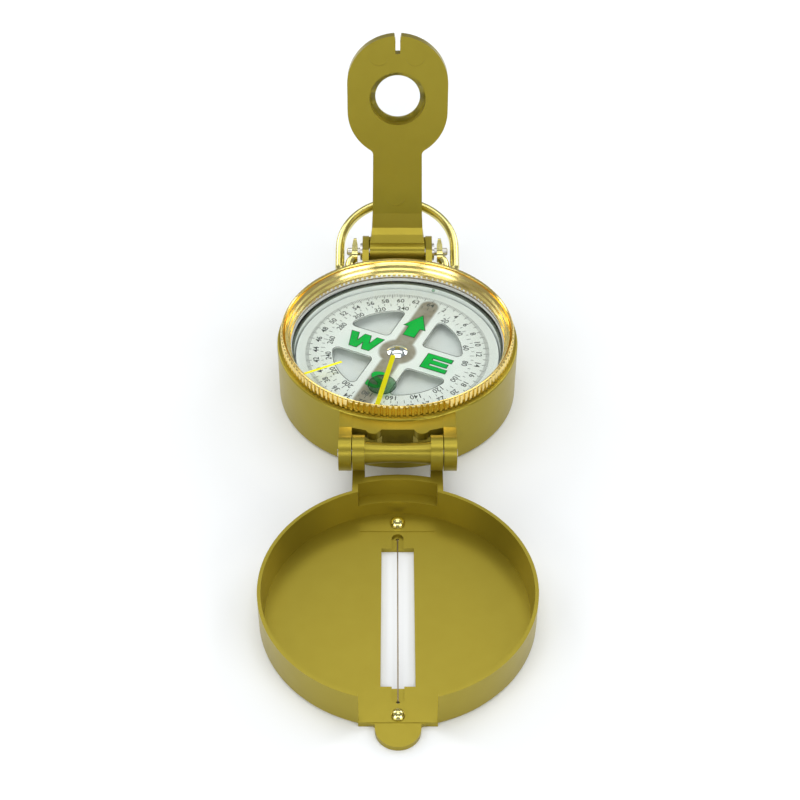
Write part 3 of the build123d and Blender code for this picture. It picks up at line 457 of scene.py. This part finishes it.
def dial_numbers():
    """Two rings of numbers: hundreds of mils outside, degrees inside."""
    bm = bmesh.new()
    for number in MIL_NUMBERS:
        add_text(bm, str(number), NUMBER_SIZE, on_card(number * 360 / 64, MIL_NUMBER_R),
                 bold=MIL_BOLD)
    for number in DEGREE_NUMBERS:
        add_text(bm, str(number), NUMBER_SIZE, on_card(number, DEGREE_NUMBER_R),
                 bold=DEGREE_BOLD)
    return add_piece("dial_numbers", bm, print_black, "card")


def window_outline():
    """Points round one window, in millimetres, in the quarter where x and y are positive."""
    low = WINDOW_EDGE + WINDOW_ROUND
    far = math.sqrt((WINDOW_R - WINDOW_ROUND) ** 2 - low**2)
    corner = math.degrees(math.atan2(low, far))
    arcs = (
        ((low, low), WINDOW_ROUND, 180, 270),
        ((far, low), WINDOW_ROUND, -90, corner),
        ((0, 0), WINDOW_R, corner, 90 - corner),
        ((low, far), WINDOW_ROUND, 90 - corner, 180),
    )
    points = []
    for (x, y), radius, start, end in arcs:
        steps = max(4, round(abs(end - start) / ARC_STEP))
        for step in range(steps):
            turn = math.radians(start + (end - start) * step / steps)
            points.append((x + radius * math.cos(turn), y + radius * math.sin(turn)))
    return points


def dial_window_lines():
    """Thin dark line round each window."""
    bm = bmesh.new()
    outside = grown(window_outline(), WINDOW_LINE_OUT)
    inside = grown(window_outline(), WINDOW_LINE_IN)
    for quarter in range(4):
        matrix = on_card(90 * quarter)
        rings = []
        for outline, lift in ((inside, 0), (outside, 0), (outside, PRINT_T), (inside, PRINT_T)):
            rings.append([bm.verts.new(matrix @ Vector((x, y, lift))) for x, y in outline])
        count = len(outside)
        for first, second in zip(rings, rings[1:] + rings[:1]):
            for k in range(count):
                after = (k + 1) % count
                bm.faces.new((first[k], first[after], second[after], second[k]))
    return add_piece("dial_window_lines", bm, print_black, "card")


def letter_shapes():
    """The letters E and W and the north arrow: outline, bearing and radius of its middle."""
    h = LETTER_H
    bar, stem, width = E_BAR, E_STEM, E_WIDTH
    gap = (h - 3 * bar) / 2
    e = [(0, 0), (width, 0), (width, bar), (stem, bar), (stem, bar + gap),
         (width - E_INSET, bar + gap), (width - E_INSET, 2 * bar + gap), (stem, 2 * bar + gap),
         (stem, h - bar), (width, h - bar), (width, h), (0, h)]
    w = [(0, h), (1.75, h), (2.6, 2.0), (3.45, h), (4.95, h), (5.8, 2.0), (6.65, h), (W_WIDTH, h),
         (6.75, 0), (4.95, 0), (4.2, 2.6), (3.45, 0), (1.65, 0)]
    arrow = [(-1.4, 0), (1.4, 0), (1.4, 3.5), (2.65, 3.5), (0, 8.3), (-2.65, 3.5), (-1.4, 3.5)]
    return (
        ([(x - width / 2, y - h / 2) for x, y in e], 90, E_R),
        ([(x - W_WIDTH / 2, y - h / 2) for x, y in w], 270, W_R),
        (arrow, 0, ARROW_R),
    )


def dial_letters():
    """Green letters and arrow, each with a dark edge just below its face."""
    faces, edges = bmesh.new(), bmesh.new()
    for outline, bearing, radius in letter_shapes():
        add_prism(edges, grown(outline, LETTER_EDGE), on_card(bearing, radius, turn=0))
        add_prism(faces, outline, on_card(bearing, radius, lift=2 * PRINT_LIFT + 0.01, turn=0))
    add_text(edges, "S", S_SIZE, on_card(180, S_R, lift=PRINT_LIFT + PRINT_T / 2, turn=0),
             bold=S_EDGE_BOLD, stretch=S_STRETCH)
    add_text(faces, "S", S_SIZE, on_card(180, S_R, lift=2 * PRINT_LIFT + 0.02, turn=0),
             bold=S_FACE_BOLD, stretch=S_STRETCH)
    add_piece("dial_letter_edges", edges, letter_edge, "card")
    add_piece("dial_letters", faces, letter_green, "card")


def bubble(name, centre_mm, radius_mm, half_mm):
    """Flattened air bubble: its centre, radius and half height."""
    bm = bmesh.new()
    place = Matrix.Translation(Vector(centre_mm) * MM)
    size = Matrix.Diagonal((radius_mm * MM, radius_mm * MM, half_mm * MM, 1))
    bmesh.ops.create_uvsphere(bm, u_segments=48, v_segments=24, radius=1.0, matrix=place @ size)
    piece = add_piece(name, bm, air, "case", smooth=True)
    return piece


dial_ticks()
dial_numbers()
dial_window_lines()
dial_letters()
bubble("air_bubble", BUBBLE_AT, BUBBLE_R, BUBBLE_HALF)
bubble("small_air_bubble", SMALL_BUBBLE_AT, SMALL_BUBBLE_R, SMALL_BUBBLE_HALF)


# =============================== floor, light and camera ==============================================
def make_floor():
    """Plain pale floor, just under the object."""
    bm = bmesh.new()
    bmesh.ops.create_grid(bm, x_segments=1, y_segments=1, size=FLOOR_HALF)
    mesh = bpy.data.meshes.new("floor")
    bm.to_mesh(mesh)
    bm.free()
    floor = bpy.data.objects.new("floor", mesh)
    floor.location.z = cad_low.z - FLOOR_GAP_MM * MM
    bpy.context.scene.collection.objects.link(floor)
    material, _, _ = shader("floor_pale", (0.90, 0.915, 0.92), roughness=0.6)
    mesh.materials.append(material)


def softbox(name, place, aim, size, power):
    """Rectangular area light that faces a point."""
    light = bpy.data.lights.new(name, "AREA")
    light.shape = "RECTANGLE"
    light.size, light.size_y = size
    light.energy = power
    lamp = bpy.data.objects.new(name, light)
    lamp.location = place
    lamp.rotation_euler = (Vector(aim) - Vector(place)).to_track_quat("-Z", "Y").to_euler()
    bpy.context.scene.collection.objects.link(lamp)


def make_world():
    """Even, faintly blue light from all round."""
    world = bpy.data.worlds.new("studio")
    world.use_nodes = True
    background = world.node_tree.nodes["Background"]
    background.inputs["Color"].default_value = (*WORLD_COLOUR, 1)
    background.inputs["Strength"].default_value = WORLD_STRENGTH
    bpy.context.scene.world = world


def make_camera():
    """Camera of the main view, from its place, pitch, yaw and roll."""
    pitch, yaw, roll = CAMERA_PITCH, CAMERA_YAW, CAMERA_ROLL
    forward = Vector((math.sin(yaw) * math.cos(pitch), math.cos(yaw) * math.cos(pitch),
                      -math.sin(pitch)))
    level = Vector((math.cos(yaw), -math.sin(yaw), 0))
    above = level.cross(forward)
    right = math.cos(roll) * level + math.sin(roll) * above
    up = -math.sin(roll) * level + math.cos(roll) * above
    data = bpy.data.cameras.new("camera")
    data.lens, data.sensor_width = CAMERA_LENS, SENSOR
    data.clip_start, data.clip_end = 0.01, 10.0
    camera = bpy.data.objects.new("camera", data)
    turn = Matrix((right, up, -forward)).transposed()
    camera.matrix_world = Matrix.Translation(CAMERA_AT) @ turn.to_4x4()
    bpy.context.scene.collection.objects.link(camera)
    bpy.context.scene.camera = camera


make_floor()
make_world()
make_camera()
for lamp in SOFTBOXES:
    softbox(*lamp)
bpy.context.scene.cycles.transparent_max_bounces = CLEAR_BOUNCES
bpy.context.scene.view_settings.view_transform = "Standard"
